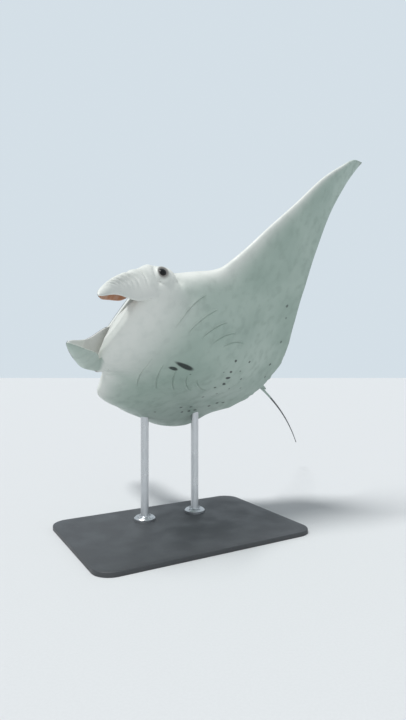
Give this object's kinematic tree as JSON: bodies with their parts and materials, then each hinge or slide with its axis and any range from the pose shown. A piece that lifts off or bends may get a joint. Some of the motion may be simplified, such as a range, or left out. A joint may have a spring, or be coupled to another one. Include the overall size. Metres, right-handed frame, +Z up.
{
  "type": "reef manta ray",
  "caption": "Life-size reef manta ray swimming in a steep bank, wings raised and mouth open, on a flat base with rods.",
  "frame": {"origin": "on the floor, under the middle of the stand's base", "axes": "+Z up; the animal swims towards -X and -Y, climbing, with its left wing up and its belly towards -Y"},
  "size_m": [2.151, 3.1835, 2.556],
  "materials": {
    "skin": "finely grained living skin, white with dark spots below, slate grey above",
    "eye": "wet, near black",
    "stand_base": "satin charcoal powder coat",
    "stand_rod": "brushed"
  },
  "bodies": {
    "root": {"head": "skin", "trunk": "skin", "wing_left": "skin", "wing_right": "skin", "cephalic_fin_left": "skin", "cephalic_fin_right": "skin", "pelvic_fin_left": "skin", "pelvic_fin_right": "skin", "dorsal_fin": "skin", "tail_base": "skin", "tail_middle": "skin", "tail_end": "skin", "eye_left": "eye", "eye_right": "eye", "stand_base": "stand_base", "stand_rod_front": "stand_rod", "stand_rod_rear": "stand_rod"}
  },
  "joints": []
}
